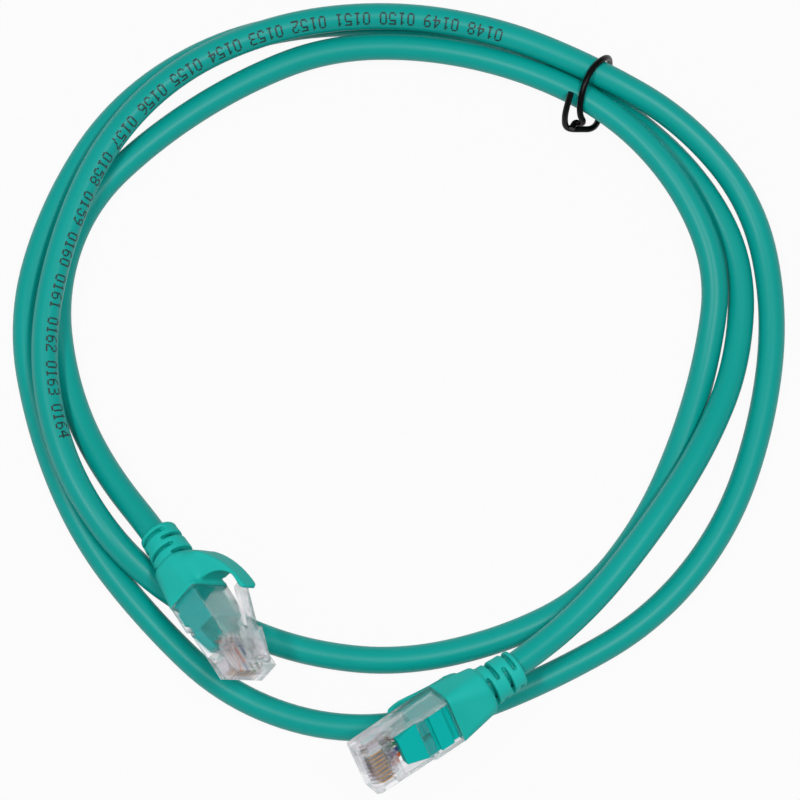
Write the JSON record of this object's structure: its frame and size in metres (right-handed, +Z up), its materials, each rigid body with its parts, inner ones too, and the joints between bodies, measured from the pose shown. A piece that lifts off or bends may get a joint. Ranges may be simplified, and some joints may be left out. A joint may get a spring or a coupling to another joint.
{
  "type": "ethernet patch cable",
  "caption": "Round twisted-pair patch cord laid in a loose coil, with a clear snap-in plug, soft boot and sprung latch at each end and a wire tie.",
  "frame": {"origin": "centre of the bounding box seen from above, on the surface the coil lies on", "axes": "+Z up from that surface; the wire tie is toward +Y and both plugs toward -Y, plug a toward -X"},
  "size_m": [0.1682, 0.1768, 0.0267],
  "materials": {
    "cord_teal": "satin",
    "boot_teal": "matte",
    "clear_plastic": "clear polycarbonate",
    "gold": "gold plated",
    "wire_orange": "satin",
    "wire_green": "satin",
    "wire_blue": "satin",
    "wire_brown": "satin",
    "wire_white": "satin",
    "tie_black": "gloss"
  },
  "bodies": {
    "cord_and_plugs": {"cable_jacket": "cord_teal", "wire_tie": "tie_black", "housing_a": "clear_plastic", "inner_mould_a": "boot_teal", "strain_bar_a": "clear_plastic", "wire_guide_a": "clear_plastic", "boot_a": "boot_teal", "wire_1_a": "wire_white", "wire_2_a": "wire_orange", "wire_3_a": "wire_white", "wire_4_a": "wire_blue", "wire_5_a": "wire_white", "wire_6_a": "wire_green", "wire_7_a": "wire_white", "wire_8_a": "wire_brown", "contact_1_a": "gold", "contact_2_a": "gold", "contact_3_a": "gold", "contact_4_a": "gold", "contact_5_a": "gold", "contact_6_a": "gold", "contact_7_a": "gold", "contact_8_a": "gold", "housing_b": "clear_plastic", "inner_mould_b": "boot_teal", "strain_bar_b": "clear_plastic", "wire_guide_b": "clear_plastic", "boot_b": "boot_teal", "wire_1_b": "wire_white", "wire_2_b": "wire_orange", "wire_3_b": "wire_white", "wire_4_b": "wire_blue", "wire_5_b": "wire_white", "wire_6_b": "wire_green", "wire_7_b": "wire_white", "wire_8_b": "wire_brown", "contact_1_b": "gold", "contact_2_b": "gold", "contact_3_b": "gold", "contact_4_b": "gold", "contact_5_b": "gold", "contact_6_b": "gold", "contact_7_b": "gold", "contact_8_b": "gold"},
    "latch_a": {"latch_a": "clear_plastic"},
    "guard_a": {"latch_guard_a": "boot_teal"},
    "latch_b": {"latch_b": "clear_plastic"},
    "guard_b": {"latch_guard_b": "boot_teal"}
  },
  "joints": [
    {"name": "latch_a_press", "type": "hinge", "parent": "cord_and_plugs", "child": "latch_a", "pos_m": [-0.02975, -0.06105, 0.02199], "axis": [-0.6166, -0.1224, 0.7777], "range_deg": [0, 12], "stiffness_Nm_per_rad": 0.15},
    {"name": "guard_a_press", "type": "hinge", "parent": "cord_and_plugs", "child": "guard_a", "pos_m": [-0.04047, -0.04267, 0.01638], "axis": [0.6166, 0.1224, -0.7777], "range_deg": [0, 12], "stiffness_Nm_per_rad": 0.05},
    {"name": "latch_b_press", "type": "hinge", "parent": "cord_and_plugs", "child": "latch_b", "pos_m": [-0.00796, -0.08125, 0.0158], "axis": [0.3417, -0.6535, -0.6754], "range_deg": [-12, 0], "stiffness_Nm_per_rad": 0.15},
    {"name": "guard_b_press", "type": "hinge", "parent": "cord_and_plugs", "child": "guard_b", "pos_m": [0.00951, -0.06836, 0.01216], "axis": [-0.3417, 0.6535, 0.6754], "range_deg": [-12, 0], "stiffness_Nm_per_rad": 0.05}
  ],
  "couplings": [
    {"joint": "guard_a_press", "follows": "latch_a_press", "ratio": 1},
    {"joint": "guard_b_press", "follows": "latch_b_press", "ratio": 1}
  ]
}
